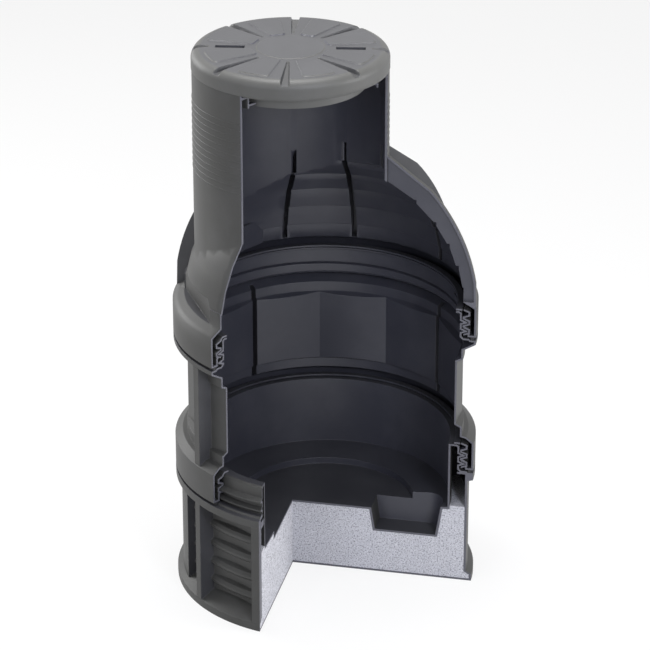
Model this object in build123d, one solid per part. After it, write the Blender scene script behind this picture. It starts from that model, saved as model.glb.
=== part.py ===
"""Plastic manhole, shown as a sectioned specimen: a chamber base with its
concrete ballast, a threaded riser ring, a cone with an off-centre neck, and a
cover. A wedge is sawn out of the ring and the cone, and a quarter out of the
base. The Z axis is the chamber's axis, and Z = 0 is the ground."""

from build123d import *
import os
from math import atan, cos, degrees, hypot, radians, sin, sqrt, tan

os.makedirs("parts", exist_ok=True)

# Chamber: what a person passes through, and the moulded wall
BORE_R = 500.0          # clear radius through the lips of every joint
SKIN = 7.0              # moulded wall of the ring and the cone
BAND_R = 577.0          # outer radius of the collars and of the foot
LOWER_JOINT_Z = 480.0   # underside of the riser ring's collar
RING_STEP = 558.0       # height that one riser ring adds
UPPER_JOINT_Z = LOWER_JOINT_Z + RING_STEP

# Threaded joint, heights above the underside of the upper collar
PITCH = 36.0
GROOVE_R = 547.0        # bottom of the groove in the socket
ROOT_R = 525.0          # inside of the socket between two turns
GROOVE_HALF = 4.5       # half width of the groove at its bottom
FLANK_RUN = 8.0         # axial run of one flank
JOINT_CLEARANCE = 3.0   # radial play between spigot and socket
THREAD_AT_0 = 59.0      # height of the helix over the +X direction
SPIGOT_FIRST = 10.0     # middle of the spigot's ridge where it starts
SPIGOT_LAST = 62.0      # and where it ends
MOUTH_R = 545.5         # plain mouth of the socket
MOUTH_H = 31.0
LIP_UNDER = 106.0       # underside of the socket's lip
SPIGOT_TOP = 103.0
SHOULDER_DROP = 13.0    # the seal's seat below the collar
SEAL_W = 11.0
SEAL_R = 562.0          # middle radius of the seal

# Riser ring
RING_FLAT = 507.0       # centre to flat of its twelve-sided body
RING_RIB_R = 573.0
RING_RIB_ANGLES = (45, 135, 225, 315)
RIB_W = 36.0
NECK_WALL_R = 530.0     # round waist between a collar and the twelve-sided body

# Cone and neck
DOME_CENTRE_R, DOME_CENTRE_Z, DOME_ARC_R = -47.0, 1146.5, 578.0
TERRACE_Z = (1576.0, 1493.0, 1411.0, 1325.0)
TERRACE_LEDGE, TERRACE_RISER = 12.0, 17.0
CONE_WALL_R = 532.0
CONE_BAND_TOP, CONE_WALL_Z, CONE_LEDGE_Z = 1158.0, 1184.0, 1242.0
NECK_X = -132.0
NECK_R = 364.0
NECK_WALL = 9.0
NECK_TOP = 2067.0
NECK_ROOT_Z = 1648.0    # where the dome meets the neck over the +X direction
SEAT_DROP = 10.0        # the cover's seat below the neck's top
SEAT_INNER_R = 322.0
SEAT_WEB_H = 49.0
SEAT_LEDGE_R = 292.0    # inner radius of the ledge on the seat's web
FIN_ANGLES = (0, 45, 90, 120, 180, 240, 270, 315)
FIN_W = 36.0
FIN_WALL = 8.0
SLOT_BOTTOM_Z = 1181.0
TERRACE_SECTOR = 120    # terraces lie within this angle of +X, both ways
POCKET_ANGLES = (150, 210)
POCKET_HALF_ANGLE = 19
POCKET_FLAT = 500.0     # centre to the pocket's back wall
POCKET_TOP_Z = 1271.0

# Base
BASE_SKIN = 8.0
FOOT_H = 28.0
PANEL_FLAT = 503.0      # centre to flat of the panelled sides
PANEL_BOTTOM_Z = 72.0
SKIRT_TOP_R = PANEL_FLAT - 3.0     # the skirt runs just inside the panels
PAD_R = 555.0
PAD_HALF_ANGLE = 30
BEAD_BOTTOM_Z = 437.0
BASE_RIB_ANGLES = (45, 75, 105, 135, 225, 255, 285, 315)
BASE_RIB_R = 576.0
BASE_RIB_W = 32.0
WAVE_Z = (109.0, 187.5, 266.0, 344.5)
WAVE_R, WAVE_HALF = 529.0, 20.0
TUB_R = 480.0
FLOOR_Z = 276.0
BENCH_R, BENCH_INNER_Z, BENCH_OUTER_Z = 341.0, 302.0, 311.0
SUMP_X0, SUMP_X1, SUMP_HALF_Y, SUMP_Z, SUMP_DRAFT = 195.0, 433.0, 95.5, 185.0, 9.0
SUMP_CORNER_R = 50.0
NICK_W, NICK_L = 8.0, 24.0
BALLAST_TOP = 318.0
CAST_GAP = 0.3
KEEL_Y = (131.0, 240.0, 350.0)
KEEL_HALF, KEEL_H = 12.0, 12.0

# Cover
COVER_R = 366.0
COVER_TOP = 2142.0
COVER_EDGE_R = 34.0
COVER_WALL = 10.0
PLUG_R = 281.0
PLUG_BOTTOM = 2004.0

# Section cuts
WEDGE_ANGLE = 124.4     # sawn out clockwise from +X
FAR = 900.0

FLANK_SLOPE = FLANK_RUN / (GROOVE_R - ROOT_R)
FLANK_ANGLE = atan(FLANK_SLOPE)


def shifted(points, shift):
    """The open line of points, moved sideways to its left, with mitred corners."""
    normals = []
    for (r0, z0), (r1, z1) in zip(points, points[1:]):
        length = hypot(r1 - r0, z1 - z0)
        normals.append(((z0 - z1) / length, (r1 - r0) / length))
    line = []
    for i, (r, z) in enumerate(points):
        a = normals[max(i - 1, 0)]
        b = normals[min(i, len(normals) - 1)]
        grow = shift / (1 + a[0] * b[0] + a[1] * b[1])
        line.append((r + grow * (a[0] + b[0]), z + grow * (a[1] + b[1])))
    return line


def turned(points, arc=360.0, start=0.0):
    """The closed outline of (radius, height) points turned about the chamber's axis."""
    face = Plane.XZ * Polygon(*points, align=None)
    return Rot(0, 0, start) * revolve(face, Axis.Z, arc)


def filled(line, arc=360.0, start=0.0):
    """Everything between the axis and an open line that runs upwards."""
    return turned([(0, line[0][1]), *line, (0, line[-1][1])], arc, start)


def turned_skin(centre_line, wall):
    """A wall of even thickness on both sides of an open centre line."""
    left = shifted(centre_line, wall / 2)
    right = shifted(centre_line, -wall / 2)
    return turned(left + right[::-1])


def sector(first, last, z0, z1, radius=FAR):
    """A slice of a round bar between two angles."""
    bar = Pos(0, 0, z0) * extrude(Circle(radius), z1 - z0)
    half = (last - first) / 2
    reach = radius / cos(radians(half)) * 1.1
    tip = reach * tan(radians(half)) * cos(radians(half))
    run = reach * cos(radians(half))
    slice_ = Pos(0, 0, z0) * extrude(Polygon((0, 0), (run, -tip), (run, tip), align=None), z1 - z0)
    return bar & (Rot(0, 0, (first + last) / 2) * slice_)


def radial_plate(outline, width, angle):
    """An upright plate of (radius, height) outline, pointing away from the axis."""
    face = Plane.XZ * outline
    return Rot(0, 0, angle) * extrude(face, width / 2, both=True)


def thread(joint_z, shift, foot_r, first, last):
    """A ridge along the helix. Its outline is the socket groove's, moved outwards by
    shift, and its foot is sunk to foot_r. It runs between two heights of its middle."""
    def half(radius):
        return GROOVE_HALF + (GROOVE_R - radius) * FLANK_SLOPE + shift / cos(FLANK_ANGLE)

    narrowest = GROOVE_R + (GROOVE_HALF + shift / cos(FLANK_ANGLE) - 1.0) / FLANK_SLOPE
    crest_r = min(GROOVE_R + shift, narrowest)
    outline = Plane.XZ * Polygon(
        (foot_r, -half(foot_r)), (crest_r, -half(crest_r)),
        (crest_r, half(crest_r)), (foot_r, half(foot_r)), align=None)
    helix = Helix(PITCH, last - first, foot_r)
    ridge = sweep(outline, helix, is_frenet=True)
    return Pos(0, 0, joint_z + first) * Rot(0, 0, (first - THREAD_AT_0) * 360 / PITCH) * ridge


def socket(joint_z):
    """The collar's inner skin: plain mouth, threaded bore, and the lip over the spigot."""
    root = ROOT_R + SKIN / 2
    lip_z = LIP_UNDER + SKIN / 2
    line = [(BAND_R - SKIN / 2, SKIN / 2), (MOUTH_R + SKIN / 2, SKIN / 2),
            (MOUTH_R + SKIN / 2, MOUTH_H), (root, MOUTH_H + 10), (root, lip_z - 9),
            (root - 8, lip_z), (BORE_R, lip_z)]
    skin = turned_skin([(r, joint_z + z) for r, z in line], SKIN)
    last = LIP_UNDER + SKIN - GROOVE_HALF - FLANK_RUN - SKIN * tan(radians(45) - FLANK_ANGLE / 2)
    ridge = thread(joint_z, SKIN, ROOT_R + SKIN - 3, MOUTH_H - 8, last)
    groove = thread(joint_z, 0, ROOT_R - 3, SPIGOT_FIRST - 3, last)
    return skin + ridge - groove


def spigot(joint_z, lip_r):
    """The shoulder, the threaded spigot above it and the lip turned inwards at its top."""
    root = ROOT_R - JOINT_CLEARANCE - SKIN / 2
    lip_z = SPIGOT_TOP - SKIN / 2
    seat_z = -SHOULDER_DROP - SKIN / 2
    seat_r = SEAL_R - SEAL_W / 2 - 2
    line = [(BAND_R - SKIN / 2, seat_z - 9), (BAND_R - SKIN / 2, seat_z), (seat_r, seat_z),
            (seat_r - 5, seat_z + 6), (root + 10, seat_z + 6), (root, seat_z + 16),
            (root, lip_z - 5), (root - 7, lip_z), (lip_r, lip_z)]
    skin = turned_skin([(r, joint_z + z) for r, z in line], SKIN)
    ridge = thread(joint_z, -JOINT_CLEARANCE, root, SPIGOT_FIRST, SPIGOT_LAST)
    hollow = thread(joint_z, -JOINT_CLEARANCE - SKIN, root - SKIN, SPIGOT_FIRST, SPIGOT_LAST)
    return skin + ridge - hollow


def seal(joint_z):
    """Rubber ring between a shoulder and the collar above it."""
    half, bevel = SEAL_W / 2, 3.0
    low, high = joint_z - SHOULDER_DROP, joint_z
    return turned([(SEAL_R - half + bevel, low), (SEAL_R + half - bevel, low), (SEAL_R + half, low + bevel),
                   (SEAL_R + half, high - bevel), (SEAL_R + half - bevel, high),
                   (SEAL_R - half + bevel, high), (SEAL_R - half, high - bevel), (SEAL_R - half, low + bevel)])


def riser_ring():
    low, high = LOWER_JOINT_Z, UPPER_JOINT_Z
    band, waist = BAND_R - SKIN / 2, NECK_WALL_R - SKIN / 2
    body = RING_FLAT - SKIN / 2 - 0.5
    line = [(band, low), (band, low + 114), (waist + 20, low + 135), (waist, low + 140), (waist, low + 178),
            (body, low + 190), (body, high - 104), (waist, high - 93), (waist, high - 55),
            (band, high - 28), (band, high - 20)]
    outer = filled(shifted(line, -SKIN / 2))
    inner = filled(shifted(line, SKIN / 2))
    prism_low, prism_high = low + 177, high - 92
    for flat, solid in ((RING_FLAT, "outer"), (RING_FLAT - SKIN, "inner")):
        prism = Pos(0, 0, prism_low) * extrude(
            RegularPolygon(flat, 12, major_radius=False, rotation=15), prism_high - prism_low)
        if solid == "outer":
            outer += prism
        else:
            inner += prism
    for angle in RING_RIB_ANGLES:
        rib_low, rib_high = low + 118, high - 34
        plate = Pos((RING_RIB_R + BORE_R) / 2, (rib_low + rib_high) / 2) * Rectangle(
            RING_RIB_R - BORE_R, rib_high - rib_low)
        slot = Pos((RING_RIB_R + BORE_R) / 2 - 30 - SKIN, (rib_low + rib_high) / 2) * Rectangle(
            RING_RIB_R - BORE_R + 60, rib_high - rib_low - 2 * SKIN)
        outer += radial_plate(plate, RIB_W, angle)
        inner += radial_plate(slot, RIB_W - 2 * FIN_WALL, angle)
    return outer - inner + socket(low) + spigot(high, BORE_R)


def dome_r(z):
    return DOME_CENTRE_R + sqrt(DOME_ARC_R ** 2 - (z - DOME_CENTRE_Z) ** 2)


def cone_line(terraced):
    """Centre line of the cone's wall, from the collar up to where the neck leaves it."""
    band, wall = BAND_R - SKIN / 2, CONE_WALL_R - SKIN / 2
    ledge = CONE_LEDGE_Z - SKIN / 2
    line = [(band, UPPER_JOINT_Z), (band, CONE_BAND_TOP - SKIN / 4), (wall, CONE_WALL_Z - SKIN / 4),
            (wall, ledge), (dome_r(ledge), ledge)]
    for z in reversed(TERRACE_Z):
        if terraced:
            line += [(dome_r(z) + TERRACE_LEDGE / 2, z - TERRACE_RISER),
                     (dome_r(z) + TERRACE_LEDGE / 2, z), (dome_r(z) - TERRACE_LEDGE / 2, z)]
        else:
            line.append((dome_r(z), z))
    line.append((NECK_X + NECK_R - NECK_WALL, NECK_ROOT_Z))
    return line


def fin_outline():
    edge = [(NECK_X + NECK_R - 40, 1773.0), (399.0, 1616.0)]
    line = Line(*edge)
    bend = ThreePointArc(edge[1], (510.7, 1448.7), (572.0, 1257.0))
    rest = Polyline((572.0, 1257.0), (BAND_R - 2, CONE_BAND_TOP), (BORE_R, CONE_BAND_TOP),
                    (NECK_X + NECK_R - 40, 1500.0), edge[0])
    return make_face(line + bend + rest)


def pocket(angle, grow):
    """The outside pocket low on the cone, grown by the wall for the inside of the wall."""
    half = POCKET_HALF_ANGLE + degrees(grow / BORE_R)
    slice_ = sector(angle - half, angle + half, CONE_WALL_Z - grow, POCKET_TOP_Z + grow)
    behind = Rot(0, 0, angle) * Pos(POCKET_FLAT - grow - FAR / 2, 0, POCKET_TOP_Z) * Box(FAR, 2 * FAR, FAR)
    return slice_ - behind


def cover_seat():
    """The neck's wall turned in below its top and down again, with a ledge inside."""
    top = NECK_TOP - SEAT_DROP
    ledge_top = top - 34
    seat = turned([
        (SEAT_INNER_R, top), (SEAT_INNER_R, ledge_top), (SEAT_LEDGE_R, ledge_top),
        (SEAT_LEDGE_R, ledge_top - SKIN), (SEAT_INNER_R, ledge_top - SKIN), (SEAT_INNER_R, top - SEAT_WEB_H),
        (SEAT_INNER_R + SKIN, top - SEAT_WEB_H), (SEAT_INNER_R + SKIN, top - NECK_WALL),
        (NECK_R - 1, top - NECK_WALL), (NECK_R - 1, top)])
    return Pos(NECK_X, 0, 0) * seat


def cone_with_neck():
    outer, inner = None, None
    for terraced, start in ((True, -TERRACE_SECTOR), (False, TERRACE_SECTOR)):
        arc = 2 * TERRACE_SECTOR if terraced else 360 - 2 * TERRACE_SECTOR
        line = cone_line(terraced)
        o = filled(shifted(line, -SKIN / 2), arc, start)
        i = filled(shifted(line, SKIN / 2), arc, start)
        outer = o if outer is None else outer + o
        inner = i if inner is None else inner + i
    for angle in POCKET_ANGLES:
        outer -= pocket(angle, 0)
        inner -= pocket(angle, SKIN)
    fin = fin_outline()
    slot = offset(fin, -FIN_WALL, kind=Kind.INTERSECTION)
    slot &= Pos(0, SLOT_BOTTOM_Z) * Rectangle(FAR, FAR, align=(Align.MIN, Align.MIN))
    slots = None
    for angle in FIN_ANGLES:
        outer += radial_plate(fin, FIN_W, angle)
        s = radial_plate(slot, FIN_W - 2 * FIN_WALL, angle)
        slots = s if slots is None else slots + s
    shell = outer - inner - slots
    tube_low = 1250.0
    tube = Pos(NECK_X, 0, tube_low) * extrude(Circle(NECK_R), NECK_TOP - tube_low)
    bore = Pos(NECK_X, 0, tube_low - 200) * extrude(Circle(NECK_R - NECK_WALL), NECK_TOP - tube_low + 300)
    return shell + (tube - inner) - bore + cover_seat() + socket(UPPER_JOINT_Z)


def panelled_side(shrink, z0, z1):
    """The base's side wall: flat panels, smooth pads at both ends, ribs and waves."""
    side = Pos(0, 0, z0) * extrude(
        RegularPolygon(PANEL_FLAT - shrink, 12, major_radius=False, rotation=15), z1 - z0)
    inset = degrees(shrink / PAD_R)
    for middle in (0, 180):
        side += sector(middle - PAD_HALF_ANGLE + inset, middle + PAD_HALF_ANGLE - inset, z0, z1, PAD_R - shrink)
    for angle in BASE_RIB_ANGLES:
        rib = Pos((BORE_R + BASE_RIB_R) / 2 - 50, (z0 + z1) / 2) * Rectangle(
            BASE_RIB_R - BORE_R + 100 - 2 * shrink, z1 - z0)
        side += radial_plate(rib, BASE_RIB_W - 2 * shrink, angle)
    return side


def waves():
    """Stiffening waves round the flat panels: bands with a rounded crest."""
    foot_r = PANEL_FLAT - 5
    rings = None
    for z in WAVE_Z:
        ring = turned([(foot_r, z - WAVE_HALF - 8), (WAVE_R - 9, z - WAVE_HALF + 4), (WAVE_R, z - 5),
                       (WAVE_R, z + 5), (WAVE_R - 9, z + WAVE_HALF - 4), (foot_r, z + WAVE_HALF + 8)])
        rings = ring if rings is None else rings + ring
    return rings


def tub(grow):
    """The chamber's open space, grown by the wall for the outside of the wall."""
    space = turned([(0, FLOOR_Z - grow), (BENCH_R + grow, FLOOR_Z - grow),
                    (BENCH_R + grow, BENCH_INNER_Z - grow), (TUB_R + grow, BENCH_OUTER_Z - grow),
                    (TUB_R + grow, LOWER_JOINT_Z + 200), (0, LOWER_JOINT_Z + 200)])
    length, width = SUMP_X1 - SUMP_X0 + 2 * grow, 2 * (SUMP_HALF_Y + grow)
    plan = Pos((SUMP_X0 + SUMP_X1) / 2, 0) * Rectangle(length, width)
    plan = fillet(plan.vertices().sort_by(Axis.X)[-2:], SUMP_CORNER_R)
    sump = Pos(0, 0, SUMP_Z - grow) * extrude(plan, BENCH_OUTER_Z - SUMP_Z, taper=-SUMP_DRAFT)
    return space + sump


def base_cavity(wall):
    """The space inside the base's double wall, leaving the given wall all round."""
    foot = turned([(0, wall), (BAND_R - wall, wall), (BAND_R - wall, FOOT_H - wall / 3),
                   (SKIRT_TOP_R - wall, PANEL_BOTTOM_Z - wall / 3), (0, PANEL_BOTTOM_Z - wall / 3)])
    top = LOWER_JOINT_Z - SHOULDER_DROP - wall
    space = foot + panelled_side(wall, FOOT_H, BEAD_BOTTOM_Z + wall)
    space += turned([(0, BEAD_BOTTOM_Z - 20), (PAD_R - wall, BEAD_BOTTOM_Z - 20), (PAD_R - wall, top), (0, top)])
    return space - tub(wall)


def base_shell():
    shoulder = LOWER_JOINT_Z - SHOULDER_DROP
    outer = turned([(0, 0), (BAND_R, 0), (BAND_R, FOOT_H), (SKIRT_TOP_R, PANEL_BOTTOM_Z), (0, PANEL_BOTTOM_Z)])
    outer += panelled_side(0, FOOT_H - 10, BEAD_BOTTOM_Z + 5) + waves()
    outer += turned([(0, BEAD_BOTTOM_Z - 6), (PAD_R, BEAD_BOTTOM_Z - 6), (BAND_R, BEAD_BOTTOM_Z),
                     (BAND_R, shoulder), (0, shoulder)])
    shell = outer - base_cavity(BASE_SKIN)
    spigot_inside = ROOT_R - JOINT_CLEARANCE - SKIN
    shell -= turned([(0, shoulder - 20), (spigot_inside, shoulder - 20), (spigot_inside, shoulder + 9),
                     (0, shoulder + 9)])
    shell += spigot(LOWER_JOINT_Z, TUB_R + BASE_SKIN / 2)
    shell += turned([(0, shoulder - 30), (TUB_R + BASE_SKIN, shoulder - 30),
                     (TUB_R + BASE_SKIN, LOWER_JOINT_Z + SPIGOT_TOP), (0, LOWER_JOINT_Z + SPIGOT_TOP)])
    return shell - tub(0)


def concrete_ballast():
    fill = base_cavity(BASE_SKIN + CAST_GAP)
    return fill & (Pos(0, 0, BALLAST_TOP - FAR / 2) * Box(2 * FAR, 2 * FAR, FAR))


def cover():
    """The lid: a dished plate with a rounded rim, and a plug ring below it."""
    flat = COVER_R - COVER_EDGE_R
    rim_under = NECK_TOP
    lip_r = NECK_R - NECK_WALL - 4
    edge = [(flat + COVER_EDGE_R * sin(radians(a)), COVER_TOP - COVER_EDGE_R * (1 - cos(radians(a))))
            for a in (0, 22, 45, 68, 90)]
    lid = turned([(0, COVER_TOP - COVER_WALL), (0, COVER_TOP), *edge,
                  (COVER_R, rim_under), (lip_r, rim_under), (lip_r - 3, rim_under - SEAT_DROP),
                  (lip_r - 15, rim_under - SEAT_DROP), (lip_r - 15, rim_under),
                  (COVER_R - COVER_WALL, rim_under + 8), (COVER_R - COVER_WALL, COVER_TOP - COVER_EDGE_R),
                  (flat, COVER_TOP - COVER_WALL)])
    plug = turned([(PLUG_R - COVER_WALL, PLUG_BOTTOM), (PLUG_R, PLUG_BOTTOM), (PLUG_R, COVER_TOP - 5),
                   (PLUG_R - COVER_WALL, COVER_TOP - 5)])
    return Pos(NECK_X, 0, 0) * (lid + plug)


def wedge():
    half = WEDGE_ANGLE / 2
    return sector(-WEDGE_ANGLE, 0, LOWER_JOINT_Z - 40, COVER_TOP + 100)


def quarter():
    return Pos(NECK_X, 0, 0) * Box(2 * FAR, FAR, 2 * FAR, align=(Align.MIN, Align.MAX, Align.CENTER))


pieces = {
    "base_shell": base_shell() - quarter(),
    "concrete_ballast": concrete_ballast() - quarter(),
    "lower_joint_seal": seal(LOWER_JOINT_Z) - wedge(),
    "riser_ring": riser_ring() - wedge(),
    "upper_joint_seal": seal(UPPER_JOINT_Z) - wedge(),
    "cone_with_neck": cone_with_neck() - wedge(),
    "cover": cover(),
}
for name, piece in pieces.items():
    piece.label = name
    print(name, len(piece.solids()), round(piece.volume / 1e6, 2), "litres")
    export_step(piece, f"parts/{name}.step")
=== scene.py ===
"""Looks of the sectioned plastic manhole: finishes of the moulded parts, the
sawn faces, the poured ballast and the seals, the detailed cover, the slots and
rings of the neck, the wall under the base's bead, a pale floor, soft lights and
the camera."""

import math

import bmesh
import bpy
import numpy as np
from mathutils import Matrix, Vector

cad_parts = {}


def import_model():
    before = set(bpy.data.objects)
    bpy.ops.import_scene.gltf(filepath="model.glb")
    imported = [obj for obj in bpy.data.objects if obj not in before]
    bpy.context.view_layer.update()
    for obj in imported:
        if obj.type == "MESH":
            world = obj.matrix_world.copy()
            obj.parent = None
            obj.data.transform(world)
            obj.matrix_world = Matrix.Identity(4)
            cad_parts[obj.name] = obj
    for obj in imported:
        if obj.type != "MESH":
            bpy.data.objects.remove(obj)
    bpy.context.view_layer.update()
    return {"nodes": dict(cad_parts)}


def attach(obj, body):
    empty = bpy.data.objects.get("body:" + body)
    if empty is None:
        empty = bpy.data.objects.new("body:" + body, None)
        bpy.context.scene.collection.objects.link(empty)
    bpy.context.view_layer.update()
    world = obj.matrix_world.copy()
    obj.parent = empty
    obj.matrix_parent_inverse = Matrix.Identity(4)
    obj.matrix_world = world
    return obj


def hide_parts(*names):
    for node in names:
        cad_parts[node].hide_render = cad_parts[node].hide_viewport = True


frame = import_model()
nodes = frame["nodes"]

# Sawn faces. All places and sizes are in metres, as in the frame
NECK_X = -0.132             # the neck's axis; the base is sawn through here too
WEDGE_DEG = 124.4           # angle of the wedge, clockwise from +X
SAW_NEAR = 0.0006           # how near a sawn plane a face lies to count as sawn
SQUARE_ON = 0.99            # how squarely it has to face that way

# Neck, and the hollow fins that open through its wall
NECK_R = 0.364
NECK_TOP = 2.067
NECK_WALL = 0.009
FIN_SLOT_HALF = 0.010       # half width inside the hollow fins
FIN_SLOT_NEAR = 0.0015
FIN_TOP_R, FIN_TOP_Z, FIN_FALL = 0.192, 1.773, 0.7585    # the fins' sloping top edge
FIN_TOP_WALL = 0.0102
NECK_SLOT_DEGS = (45, 90, 120)
NECK_SLOT_LOW = 1.50
CUTTER_INSET = 0.020        # how far inside the neck a slot's cutter starts
CUTTER_PAST = 0.0007        # how far past the neck's wall it reaches
CUTTER_SLACK = 0.0004       # how much narrower than the hollow it is

# Fine rings round the neck
RINGS = 12
RING_LOW, RING_STEP = 1.686, 0.0245
RING_ARC_DEG, RING_CORNERS = 252.8, 169
RING_HALF, RING_DEPTH, RING_BITE = 0.0030, 0.0016, 0.0010
RING_SHOULDER = (0.6, 0.7)  # where its rounding turns: share of the half width, of the depth

# Base, under the bead of its shoulder
PANEL_FLAT = 0.503          # centre to flat of the twelve panelled sides
PANEL_DEG = 30
SKIN = 0.008
BEAD_BOTTOM = 0.437
WEB_LOW, WEB_RIM = 0.4165, 0.549
WEB_STEP_DEG = 2.0
PAD_EDGES = ((30, -1), (150, 1), (210, -1))     # angle, and which way the pad lies
PAD_LAP_DEG = 0.8           # how far the web runs into a pad
PAD_BLOCK_DEGS = (0.04, 0.9)
PAD_BLOCK_LOW = WEB_LOW - 0.0009
BACK_RIBS_DEG = (45, 75, 105, 135)      # the ribs stand at the panels' corners
FRONT_RIBS_DEG = (225, 255)
SAWN_RIB_DEG = 255
RIB_HALF = 0.0158
RIB_BLOCK_LOW = WEB_LOW + 0.0003
BLOCK_RIM = WEB_RIM + 0.001

# Cover
COVER_TOP = 2.142
COVER_R = 0.366
EDGE_R = 0.034              # rounding of the rim
RIM_BAND = 0.012            # upright part of the rim
RIM_BEVEL = 0.001
STEP_W = 0.003              # width over which pads and disc rise
PAD_H = 0.004
PAD_INNER, PAD_OUTER, PAD_CORNER = 0.140, 0.318, 0.012
PAD_HALF_DEG = 11.25
DISC_R, DISC_H = 0.125, 0.002
CHANNELS = 8
CHANNEL_START_DEG = 9.6
CHANNEL_STEP_DEG = 360.0 / CHANNELS
KEY_CHANNELS = (0, CHANNELS // 2)
GROOVE_START, GROOVE_NARROW, GROOVE_WIDE = 0.152, 0.0055, 0.016
GROOVE_END = COVER_R - 0.012
GROOVE_DEPTH, GROOVE_FALL = 0.006, 0.012    # at its start, and more at its end
GROOVE_BANK, GROOVE_BRINK = 0.004, 0.35     # width of its banks, share outside the line
KEY_GROOVE_START, KEY_GROOVE_NARROW = 0.304, 0.010
KEY_START, KEY_L, KEY_W, KEY_CUT_H = 0.168, 0.108, 0.027, 0.08
UNDERSIDE = 2.119
UNDERSIDE_INNER_R = 0.03
PLUG_R, PLUG_WALL, PLUG_BOTTOM = 0.281, 0.010, 2.004
LIP_R, LIP_W, LIP_BOTTOM, LIP_DRAFT = 0.351, 0.015, 2.057, 0.003
# Mesh of the top: stop, step, stop and so on, fine where an edge runs
LID_RADII = (0.02, 0.035, 0.12, 0.0015, 0.130, 0.004, 0.138, 0.0014, 0.166, 0.007, 0.292,
             0.0022, 0.332)
LID_RIM_DEGS = (6.0, 6.0, 90.0)
LID_DEGS = (0.0, 0.6, 1.2, 0.3, 4.2, 1.1, 9.6, 0.3, 12.6, 1.3, 22.5)

# Finishes; the inside colour and the blue tint of the sawn colours are painted light
OUTSIDE = (0.033, 0.033, 0.031, 1.0)
# painted light: a lighter, bluer copy of the plastic's colour for faces that look inward, for
# the bluish light reflected inside
INSIDE_PAINTED_SHEEN = (0.040, 0.041, 0.054, 1.0)
WORN = (0.16, 0.16, 0.17, 1.0)
# sawn faces: the cut plastic's paler tone, with a blue tint painted for the cool lamp's
# reflection
SAWN_AND_SHEEN = (0.080, 0.080, 0.096, 1.0)
SAWN_PALE_AND_SHEEN = (0.11, 0.11, 0.13, 1.0)
COVER_GREY = (0.072, 0.072, 0.068, 1.0)
RUBBER = (0.012, 0.012, 0.013, 1.0)
RUBBER_DUST = (0.035, 0.035, 0.036, 1.0)
CONCRETE = (0.49, 0.49, 0.53, 1.0)
CONCRETE_PALE = (0.57, 0.57, 0.60, 1.0)
CONCRETE_SPECK = (0.17, 0.17, 0.19, 1.0)
CONCRETE_GRAIN = (0.86, 0.86, 0.88, 1.0)
FLOOR_WHITE = (0.86, 0.86, 0.86, 1.0)
EDGE_SOFTNESS = 0.004       # radius that the shading gives the plastic's edges
WEAR = 0.10                 # share of the worn colour where the plastic is cloudy
ROUGH = 0.46                # of the plastic's outside
ROUGH_INSIDE, ROUGH_CLOUD, ROUGH_SAWN = -0.12, 0.12, 0.15      # added to it
TURN = 0.25                 # how far a face turns from the outside colour to the painted inside colour and smoother roughness
SPECKS, GRAINS = 0.85, 0.55     # how strongly they colour the concrete
MATT = 0.9

# Light: name, place, size, power and colour of the round lamps
WHITE, COOL = (1.0, 1.0, 1.0), (0.86, 0.89, 1.0)
LAMPS = (
    ("right", (6.5, 0.2, 2.6), 3.0, 260.0, WHITE),
    ("front_right", (3.4, -4.9, 4.2), 1.6, 190.0, COOL),
    ("front_left", (-2.2, -6.2, 3.8), 1.8, 75.0, COOL),
    ("rim_back", (-5.5, 2.5, 3.0), 3.0, 170.0, WHITE),
    ("top", (-0.5, 0.3, 6.5), 3.0, 290.0, WHITE),
)
LAMPS_AIM = Vector((0.0, 0.0, 1.0))
SKY = 0.32                  # strength of the white world as a light
FLOOR_REACH = 30.0
FLOOR_GLOW = 0.80           # share of plain white in what the camera sees of the floor

# Camera: where the photograph was taken from
CAMERA_AT = Vector((2.4331, -11.1485, 6.2310))
CAMERA_LOOK = Vector((-0.0025, -0.0005, 1.0350))
CAMERA_LENS = 183.3
SENSOR = 36.0
CLIP_END = 100.0


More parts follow.
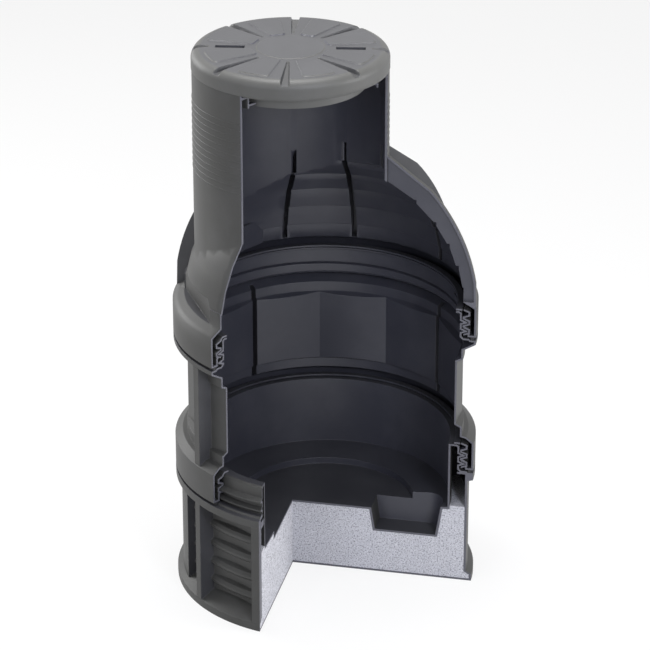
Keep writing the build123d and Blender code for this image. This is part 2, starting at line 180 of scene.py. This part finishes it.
class Nodes:
    """A material's node tree with short names for what it needs most."""

    def __init__(self, name):
        self.material = bpy.data.materials.new(name)
        self.material.use_nodes = True
        self.tree = self.material.node_tree
        self.shader = self.tree.nodes["Principled BSDF"]

    def new(self, kind, **inputs):
        node = self.tree.nodes.new(kind)
        for key, value in inputs.items():
            self.put(node, key, value)
        return node

    def put(self, node, key, value):
        """Sets or links an input, given by its number or by its name with _ for a space."""
        socket = node.inputs[key.replace("_", " ") if isinstance(key, str) else key]
        if isinstance(value, bpy.types.NodeSocket):
            self.tree.links.new(value, socket)
        else:
            socket.default_value = value

    def finish(self, colour, rough):
        self.put(self.shader, "Base Color", colour)
        self.put(self.shader, "Roughness", rough)

    def math(self, operation, a, b=0.0, c=0.0):
        node = self.tree.nodes.new("ShaderNodeMath")
        node.operation = operation
        for i, value in enumerate((a, b, c)):
            self.put(node, i, value)
        return node.outputs[0]

    def mix(self, factor, a, b):
        """From colour a to colour b; 6, 7 and 2 are the mix node's colour sockets."""
        node = self.tree.nodes.new("ShaderNodeMix")
        node.data_type = "RGBA"
        for i, value in ((0, factor), (6, a), (7, b)):
            self.put(node, i, value)
        return node.outputs[2]

    def noise(self, vector, scale, detail=3.0, roughness=0.5):
        node = self.new("ShaderNodeTexNoise", Vector=vector, Scale=scale, Detail=detail,
                        Roughness=roughness)
        return node.outputs["Fac"]

    def ramp(self, value, low, high):
        """0 where the value is at low, 1 where it is at high, and smooth between."""
        node = self.tree.nodes.new("ShaderNodeMapRange")
        node.interpolation_type = "SMOOTHSTEP"
        for i, number in enumerate((value, low, high, 0.0, 1.0)):
            self.put(node, i, number)
        return node.outputs[0]

    def bump(self, height, strength, distance, **normal):
        node = self.new("ShaderNodeBump", Strength=strength, Distance=distance, Height=height,
                        **normal)
        return node.outputs[0]

    def spot(self):
        """Position of the shaded point."""
        return self.tree.nodes.new("ShaderNodeNewGeometry").outputs["Position"]


def split(tree):
    """Position and true normal of the shaded point, as numbers."""
    geometry = tree.new("ShaderNodeNewGeometry")
    return [tree.new("ShaderNodeSeparateXYZ", Vector=geometry.outputs[name]).outputs
            for name in ("Position", "True Normal")]


def on_plane(tree, position, normal, nx, ny, offset=0.0):
    """1 where a face lies in the upright plane nx*x + ny*y = offset."""
    dot = tree.math("MULTIPLY_ADD", position[0], nx, tree.math("MULTIPLY", position[1], ny))
    near = tree.math("COMPARE", dot, offset, SAW_NEAR)
    along = tree.math("MULTIPLY_ADD", normal[0], nx, tree.math("MULTIPLY", normal[1], ny))
    square = tree.math("GREATER_THAN", tree.math("ABSOLUTE", along), SQUARE_ON)
    return tree.math("MULTIPLY", near, square)


def wedge_mask(tree, position, normal):
    """The two faces that the wedge left on the ring and the cone."""
    angle = math.radians(-WEDGE_DEG)
    first = on_plane(tree, position, normal, 0.0, 1.0)
    second = on_plane(tree, position, normal, -math.sin(angle), math.cos(angle))
    return tree.math("MAXIMUM", first, second)


def quarter_mask(tree, position, normal):
    """The two faces that the quarter left on the base."""
    first = on_plane(tree, position, normal, 0.0, 1.0)
    second = on_plane(tree, position, normal, 1.0, 0.0, NECK_X)
    return tree.math("MAXIMUM", first, second)


def inward(tree, position, normal, centre_x):
    """1 on faces that look at the upright axis through centre_x, 0 on those that look away."""
    x, y = tree.math("SUBTRACT", position[0], centre_x), position[1]
    dot = tree.math("MULTIPLY_ADD", normal[0], x, tree.math("MULTIPLY", normal[1], y))
    length = tree.math("SQRT", tree.math("MULTIPLY_ADD", x, x, tree.math("MULTIPLY", y, y)))
    return tree.ramp(tree.math("DIVIDE", dot, length), TURN, -TURN)


def fin_slot_shade_mask(tree, position, normal):
    """1 on the wall of the hollow fin that the cut over +X lays open; it gets the painted
    inside colour as painted shade.
    """
    wall = tree.math("COMPARE", position[1], FIN_SLOT_HALF, FIN_SLOT_NEAR)
    facing = tree.math("GREATER_THAN", tree.math("ABSOLUTE", normal[1]), 0.9)
    return tree.math("MULTIPLY", wall, facing)


def moulded(name, cut=None, outside=OUTSIDE, centre_x=0.0):
    """Dark moulded plastic, smoother inside; inward faces get a lighter, bluer copy of its
    colour as painted reflected light, and sawn faces are paler, with a painted blue sheen.
    """
    tree = Nodes(name)
    spot = tree.spot()
    position, normal = split(tree)
    inside = tree.math("MAXIMUM", inward(tree, position, normal, centre_x),
                       fin_slot_shade_mask(tree, position, normal))
    cloudy = tree.noise(spot, scale=6.0, detail=4.0, roughness=0.6)
    # inward faces, and the open fin slot's wall, take the painted inside colour
    colour = tree.mix(inside, outside, INSIDE_PAINTED_SHEEN)
    colour = tree.mix(tree.ramp(cloudy, 0.35, 0.75), colour, tree.mix(WEAR, colour, WORN))
    rough = tree.math("MULTIPLY_ADD", cloudy, ROUGH_CLOUD,
                      tree.math("MULTIPLY_ADD", inside, ROUGH_INSIDE, ROUGH))
    if cut is not None:
        sawn = cut(tree, position, normal)
        marks = tree.noise(spot, scale=240.0)
        # sawn faces: paler cut plastic with saw marks, and a painted blue sheen
        colour = tree.mix(sawn, colour, tree.mix(marks, SAWN_AND_SHEEN, SAWN_PALE_AND_SHEEN))
        rough = tree.math("MULTIPLY_ADD", sawn, ROUGH_SAWN, rough)
    rounded = tree.new("ShaderNodeBevel", Radius=EDGE_SOFTNESS)
    rounded.samples = 4
    orange_peel = tree.bump(tree.noise(spot, scale=120.0, detail=2.0), strength=0.10,
                            distance=0.0012, Normal=rounded.outputs[0])
    grain = tree.bump(tree.noise(spot, scale=900.0, detail=2.0), strength=0.12,
                      distance=0.0003, Normal=orange_peel)
    tree.finish(colour, rough)
    tree.put(tree.shader, "Normal", grain)
    return tree.material


def rubber():
    """Black rubber with a little dust."""
    tree = Nodes("seal_rubber")
    dust = tree.noise(tree.spot(), scale=60.0, detail=4.0)
    rough = tree.math("MULTIPLY_ADD", dust, 0.2, 0.55)
    tree.finish(tree.mix(tree.ramp(dust, 0.5, 0.8), RUBBER, RUBBER_DUST), rough)
    return tree.material


def concrete():
    """Pale poured filling with fine dark specks; the sawn faces show the grains."""
    tree = Nodes("ballast")
    spot = tree.spot()
    coarse = tree.new("ShaderNodeTexVoronoi", Vector=spot, Scale=150.0)
    fine = tree.noise(spot, scale=170.0, roughness=0.65)
    cloud = tree.noise(spot, scale=14.0, detail=4.0, roughness=0.6)
    specks = tree.math("MULTIPLY", tree.ramp(fine, 0.50, 0.38), SPECKS)
    grains = tree.math("MULTIPLY", tree.ramp(coarse.outputs["Distance"], 0.34, 0.14), GRAINS)
    colour = tree.mix(specks, tree.mix(cloud, CONCRETE, CONCRETE_PALE), CONCRETE_SPECK)
    tree.finish(tree.mix(grains, colour, CONCRETE_GRAIN), MATT)
    tree.put(tree.shader, "Normal", tree.bump(fine, strength=0.35, distance=0.0012))
    return tree.material


def dress(piece, material):
    piece.data.materials.clear()
    piece.data.materials.append(material)


def linked(name, mesh):
    """A new object of the scene that shows the mesh."""
    piece = bpy.data.objects.new(name, mesh)
    bpy.context.scene.collection.objects.link(piece)
    return piece


def solid_through(name, rings):
    """A closed form through rings of points with as many corners each."""
    form = bmesh.new()
    loops = [[form.verts.new(p) for p in ring] for ring in rings]
    n = len(loops[0])
    for a, b in zip(loops, loops[1:]):
        for j in range(n):
            form.faces.new((a[j], a[(j + 1) % n], b[(j + 1) % n], b[j]))
    form.faces.new(loops[0][::-1])
    form.faces.new(loops[-1])
    bmesh.ops.recalc_face_normals(form, faces=form.faces)
    mesh = bpy.data.meshes.new(name)
    form.to_mesh(mesh)
    form.free()
    return linked(name, mesh)


def combine(piece, other, operation):
    """Cuts the other form out of the piece or joins it on, and deletes the other."""
    modifier = piece.modifiers.new("combine", "BOOLEAN")
    modifier.operation = operation
    modifier.solver = "EXACT"
    modifier.object = other
    depsgraph = bpy.context.evaluated_depsgraph_get()
    mesh = bpy.data.meshes.new_from_object(piece.evaluated_get(depsgraph))
    piece.modifiers.clear()
    piece.data = mesh
    bpy.data.objects.remove(other)


def sharpen(mesh, degrees):
    """Smooth shading with sharp edges where faces meet at more than this angle."""
    form = bmesh.new()
    form.from_mesh(mesh)
    for edge in form.edges:
        edge.smooth = edge.calc_face_angle(math.pi) < math.radians(degrees)
    for face in form.faces:
        face.smooth = True
    form.to_mesh(mesh)
    form.free()


def spaced(*stops):
    """Numbers from stop to stop, each run divided by the step between the two."""
    values = [stops[0]]
    for step, stop in zip(stops[1::2], stops[2::2]):
        count = max(1, round((stop - values[-1]) / step))
        start = values[-1]
        values += [start + (stop - start) * (k + 1) / count for k in range(count)]
    return values


def beside(degrees, r, side=0.0):
    """The place in plan at a distance along a direction, and to the left of it."""
    c, n = math.cos(math.radians(degrees)), math.sin(math.radians(degrees))
    return r * c - side * n, r * n + side * c


def smooth_step(x):
    t = np.clip(x, 0.0, 1.0)
    return t * t * (3 - 2 * t)


def channel_angle(angle):
    """Angle from the nearest channel's middle, and that channel's number."""
    step = 2 * math.pi / CHANNELS
    turned = angle - math.radians(CHANNEL_START_DEG)
    number = np.round(turned / step)
    return turned - number * step, number.astype(int) % CHANNELS


def lid_height(r, angle):
    """Height of the cover's top: rounded rim, raised pads and disc, sunk grooves."""
    deck = COVER_TOP - PAD_H
    out = np.clip((r - (COVER_R - EDGE_R)) / EDGE_R, 0.0, 1.0)
    height = deck - EDGE_R * (1 - np.sqrt(np.clip(1 - out * out, 0.0, 1.0)))
    offset, number = channel_angle(angle)

    # Pads, with rounded corners
    side = r * np.sin(math.radians(PAD_HALF_DEG) - (math.pi / CHANNELS - np.abs(offset)))
    along = np.minimum(r - PAD_INNER, PAD_OUTER - r)
    corner = np.hypot(np.maximum(PAD_CORNER - side, 0.0), np.maximum(PAD_CORNER - along, 0.0))
    inside_pad = np.where((side < PAD_CORNER) | (along < PAD_CORNER), PAD_CORNER - corner,
                          PAD_CORNER)
    height = height + PAD_H * smooth_step(inside_pad / STEP_W + 0.5)
    height = height + DISC_H * smooth_step((DISC_R - r) / STEP_W + 0.5)

    # Grooves, wider and deeper towards the rim
    u, v = r * np.cos(offset), r * np.sin(offset)
    key = np.isin(number, KEY_CHANNELS)
    start = np.where(key, KEY_GROOVE_START, GROOVE_START) + GROOVE_NARROW
    t = np.clip((u - start) / (GROOVE_END - start), 0.0, 1.0)
    narrow = np.where(key, KEY_GROOVE_NARROW, GROOVE_NARROW)
    width = narrow + t * (GROOVE_WIDE - narrow)
    deep = width - np.hypot(u - np.clip(u, start, GROOVE_END), v)
    floor = deck - GROOVE_DEPTH - GROOVE_FALL * t
    bank = smooth_step(deep / GROOVE_BANK + GROOVE_BRINK)
    return height + np.minimum(floor - height, 0.0) * bank


def cover_lid():
    """The whole cover as one closed form: detailed top, rim, lip, underside, plug ring."""
    half = spaced(*LID_DEGS)
    sector = [-a for a in half[:0:-1]] + half[:-1]
    angles = np.radians([CHANNEL_START_DEG + k * CHANNEL_STEP_DEG + a
                         for k in range(CHANNELS) for a in sector])
    count = len(angles)
    rim = [COVER_R - EDGE_R + EDGE_R * math.sin(math.radians(a)) for a in spaced(*LID_RIM_DEGS)]
    rows = [(r, lid_height(np.full(count, r), angles)) for r in spaced(*LID_RADII) + rim]
    rows += [(r, np.full(count, z)) for r, z in (
        (COVER_R, NECK_TOP + RIM_BAND), (COVER_R, NECK_TOP + RIM_BEVEL),
        (COVER_R - RIM_BEVEL, NECK_TOP), (LIP_R, NECK_TOP), (LIP_R - LIP_DRAFT, LIP_BOTTOM),
        (LIP_R - LIP_W, LIP_BOTTOM), (LIP_R - LIP_W, UNDERSIDE), (PLUG_R, UNDERSIDE),
        (PLUG_R, PLUG_BOTTOM), (PLUG_R - PLUG_WALL, PLUG_BOTTOM),
        (PLUG_R - PLUG_WALL, UNDERSIDE), (UNDERSIDE_INNER_R, UNDERSIDE))]
    points = np.vstack([np.column_stack([NECK_X + r * np.cos(angles), r * np.sin(angles), z])
                        for r, z in rows])
    top, bottom = len(points), len(points) + 1
    centre_z = float(lid_height(np.zeros(1), np.zeros(1))[0])
    vertices = [tuple(p) for p in points] + [(NECK_X, 0.0, centre_z), (NECK_X, 0.0, UNDERSIDE)]
    last = (len(rows) - 1) * count
    faces = []
    for j in range(count):
        k = (j + 1) % count
        faces.append((top, j, k))
        faces.append((bottom, last + k, last + j))
        faces += [(i * count + j, (i + 1) * count + j, (i + 1) * count + k, i * count + k)
                  for i in range(len(rows) - 1)]
    mesh = bpy.data.meshes.new("cover_lid")
    mesh.from_pydata(vertices, [], faces)
    mesh.shade_smooth()
    return linked("cover_lid", mesh)


def cut_key_slots(lid):
    """The two long slots for the lifting key, through the cover."""
    form = bmesh.new()
    size = Matrix.Diagonal((KEY_L, KEY_W, KEY_CUT_H, 1.0))
    middle = Matrix.Translation((KEY_START + KEY_L / 2, 0.0, COVER_TOP))
    for number in KEY_CHANNELS:
        angle = math.radians(CHANNEL_START_DEG + number * CHANNEL_STEP_DEG)
        turn = Matrix.Translation((NECK_X, 0, 0)) @ Matrix.Rotation(angle, 4, "Z")
        bmesh.ops.create_cube(form, size=1.0, matrix=turn @ middle @ size)
    mesh = bpy.data.meshes.new("key_cutter")
    form.to_mesh(mesh)
    form.free()
    combine(lid, linked("key_cutter", mesh), "DIFFERENCE")


def neck_rings():
    """Fine rings moulded round the outside of the neck, ending at the two sawn faces."""
    shoulder, rise = RING_HALF * RING_SHOULDER[0], RING_DEPTH * RING_SHOULDER[1]
    profile = [(-RING_HALF, -RING_BITE), (-shoulder, rise), (0.0, RING_DEPTH), (shoulder, rise),
               (RING_HALF, -RING_BITE)]
    angles = np.radians(np.linspace(0.0, RING_ARC_DEG, RING_CORNERS))
    n = len(profile)
    vertices, faces = [], []
    for k in range(RINGS):
        first = len(vertices)
        for a in angles:
            for dz, dr in profile:
                r = NECK_R + dr
                vertices.append((NECK_X + r * math.cos(a), r * math.sin(a),
                                 RING_LOW + k * RING_STEP + dz))
        for i in range(len(angles) - 1):
            for j in range(n - 1):
                a, b = first + i * n + j, first + (i + 1) * n + j
                faces.append((a, b, b + 1, a + 1))
        faces.append(tuple(range(first, first + n))[::-1])
        faces.append(tuple(range(len(vertices) - n, len(vertices))))
    mesh = bpy.data.meshes.new("neck_rings")
    mesh.from_pydata(vertices, [], faces)
    mesh.validate()
    sharpen(mesh, degrees=60)
    return linked("neck_rings", mesh)


def neck_slot_cutter(degrees):
    """Where a fin's hollow opens through the neck's wall."""
    across = NECK_X * math.sin(math.radians(degrees))
    # How far from the chamber's axis the fin's middle plane meets the neck's inside
    inner = (NECK_X * math.cos(math.radians(degrees))
             + math.sqrt((NECK_R - NECK_WALL) ** 2 - across ** 2))
    start, end = inner - CUTTER_INSET, inner + NECK_WALL + CUTTER_PAST
    top = FIN_TOP_Z - (end - FIN_TOP_R) * FIN_FALL - FIN_TOP_WALL
    corners = ((start, NECK_SLOT_LOW), (end, NECK_SLOT_LOW), (end, top), (start, top))
    half = FIN_SLOT_HALF - CUTTER_SLACK
    return solid_through("slot_cutter", [[(*beside(degrees, r, side), z) for r, z in corners]
                                         for side in (-half, half)])


def slotted_cone():
    """A copy of the CAD cone with the fins' slots cut through the neck's wall."""
    cone = linked("cone_slotted", nodes["cone_with_neck"].data.copy())
    for degrees in NECK_SLOT_DEGS:
        combine(cone, neck_slot_cutter(degrees), "DIFFERENCE")
    return cone


def web_section(back, wall, rim):
    """Distance and height of the web's corners: up the panel's wall and out to the bead."""
    top = BEAD_BOTTOM + SKIN
    return ((back, WEB_LOW), (wall, WEB_LOW), (wall, BEAD_BOTTOM), (rim, BEAD_BOTTOM),
            (rim, top), (back, top))


def web_ring(degrees):
    """The web's section at an angle round the chamber."""
    half = PANEL_DEG / 2
    slant = math.cos(math.radians((degrees + half) % PANEL_DEG - half))
    section = web_section((PANEL_FLAT - SKIN) / slant, PANEL_FLAT / slant, WEB_RIM)
    return [(*beside(degrees, r), z) for r, z in section]


def web_end():
    """The web's section in the base's sawn plane."""
    rim = math.sqrt(WEB_RIM ** 2 - NECK_X ** 2)
    return [(NECK_X, -y, z) for y, z in web_section(PANEL_FLAT - SKIN, PANEL_FLAT, rim)]


def rib_plan(degrees):
    """A rib's plan, between panel and bead; the last rib is sawn off with the quarter."""
    start, end = PANEL_FLAT - SKIN / 2, BLOCK_RIM
    left = {start: RIB_HALF, end: RIB_HALF}
    if degrees == SAWN_RIB_DEG:
        c, n = math.cos(math.radians(degrees)), math.sin(math.radians(degrees))
        left = {r: (r * c - NECK_X) / n for r in (start, end)}
    return [beside(degrees, r, side) for r, side in (
        (start, -RIB_HALF), (end, -RIB_HALF), (end, left[end]), (start, left[start]))]


def pad_side_plan(edge, way):
    """The plan of a pad's side wall, between panel and bead."""
    low, high = sorted(edge + way * turn for turn in PAD_BLOCK_DEGS)
    start, end = PANEL_FLAT - SKIN / 2, BLOCK_RIM
    return [beside(degrees, r) for r, degrees in (
        (start, low), (end, low), (end, high), (start, high))]


def web_degrees(*stops):
    """Angles of the web's sections, with one at each stop."""
    return spaced(stops[0], *(number for stop in stops[1:] for number in (WEB_STEP_DEG, stop)))


def base_web():
    """The wall under the base's bead: between panels and bead, at ribs and at pads."""
    first, last, third = (edge + way * PAD_LAP_DEG for edge, way in PAD_EDGES)
    back = [web_ring(d) for d in web_degrees(first, *BACK_RIBS_DEG, last)]
    front = [web_ring(d) for d in web_degrees(third, *FRONT_RIBS_DEG)]
    web = solid_through("base_web", back)
    combine(web, solid_through("web_front", front + [web_end()]), "UNION")
    blocks = [(rib_plan(degrees), RIB_BLOCK_LOW) for degrees in BACK_RIBS_DEG + FRONT_RIBS_DEG]
    blocks += [(pad_side_plan(edge, way), PAD_BLOCK_LOW) for edge, way in PAD_EDGES]
    for plan, low in blocks:
        block = solid_through("web_block", [[(x, y, z) for x, y in plan]
                                            for z in (low, BEAD_BOTTOM + SKIN / 2)])
        combine(web, block, "UNION")
    sharpen(web.data, degrees=30)
    return web


def studio():
    for name, place, size, power, colour in LAMPS:
        data = bpy.data.lights.new(name, "AREA")
        data.shape = "DISK"
        data.size = size
        data.energy = power
        data.color = colour
        lamp = bpy.data.objects.new(name, data)
        lamp.location = place
        lamp.rotation_euler = (LAMPS_AIM - lamp.location).to_track_quat("-Z", "Y").to_euler()
        bpy.context.scene.collection.objects.link(lamp)


def world():
    """White to the camera and in reflections, and a weaker light for the rest."""
    scene_world = bpy.data.worlds.new("studio_white")
    bpy.context.scene.world = scene_world
    scene_world.use_nodes = True
    tree = scene_world.node_tree
    background = tree.nodes["Background"]
    path = tree.nodes.new("ShaderNodeLightPath")
    seen = tree.nodes.new("ShaderNodeMath")
    seen.operation = "MAXIMUM"
    strength = tree.nodes.new("ShaderNodeMapRange")
    strength.inputs["To Min"].default_value = SKY
    strength.inputs["To Max"].default_value = 1.0
    tree.links.new(path.outputs["Is Camera Ray"], seen.inputs[0])
    tree.links.new(path.outputs["Is Glossy Ray"], seen.inputs[1])
    tree.links.new(seen.outputs[0], strength.inputs["Value"])
    tree.links.new(strength.outputs[0], background.inputs["Strength"])
    background.inputs["Color"].default_value = (*WHITE, 1.0)


def floor():
    """A pale floor that turns white towards the camera and keeps the soft shadow."""
    mesh = bpy.data.meshes.new("floor")
    reach = FLOOR_REACH
    mesh.from_pydata([(-reach, -reach, 0), (reach, -reach, 0), (reach, reach, 0),
                      (-reach, reach, 0)], [], [(0, 1, 2, 3)])
    tree = Nodes("floor_white")
    tree.finish(FLOOR_WHITE, MATT)
    path = tree.new("ShaderNodeLightPath")
    glow = tree.new("ShaderNodeEmission", Strength=1.0)
    seen = tree.math("MAXIMUM", path.outputs["Is Camera Ray"], path.outputs["Is Glossy Ray"])
    blend = tree.new("ShaderNodeMixShader")
    for i, value in enumerate((tree.math("MULTIPLY", seen, FLOOR_GLOW),
                               tree.shader.outputs[0], glow.outputs[0])):
        tree.put(blend, i, value)
    tree.put(tree.tree.nodes["Material Output"], "Surface", blend.outputs[0])
    mesh.materials.append(tree.material)
    linked("floor", mesh)


def camera():
    data = bpy.data.cameras.new("camera")
    data.sensor_width = SENSOR
    data.lens = CAMERA_LENS
    data.clip_end = CLIP_END
    eye = bpy.data.objects.new("camera", data)
    eye.location = CAMERA_AT
    eye.rotation_euler = (CAMERA_LOOK - CAMERA_AT).to_track_quat("-Z", "Y").to_euler()
    bpy.context.scene.collection.objects.link(eye)
    bpy.context.scene.camera = eye


wedge_plastic = moulded("chamber_plastic", wedge_mask)
base_plastic = moulded("base_plastic", quarter_mask)
cover_plastic = moulded("cover_plastic", outside=COVER_GREY, centre_x=NECK_X)
seal_rubber = rubber()
for node, material in (("riser_ring", wedge_plastic), ("cone_with_neck", wedge_plastic),
                       ("base_shell", base_plastic), ("concrete_ballast", concrete()),
                       ("lower_joint_seal", seal_rubber), ("upper_joint_seal", seal_rubber),
                       ("cover", cover_plastic)):
    dress(nodes[node], material)

cone = slotted_cone()
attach(cone, "root")
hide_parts("cone_with_neck")

lid = cover_lid()
cut_key_slots(lid)
sharpen(lid.data, degrees=50)
dress(lid, cover_plastic)
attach(lid, "root")
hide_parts("cover")

web = base_web()
dress(web, base_plastic)
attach(web, "root")

rings = neck_rings()
dress(rings, wedge_plastic)
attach(rings, "root")

studio()
world()
floor()
camera()
bpy.context.scene.view_settings.view_transform = "Standard"
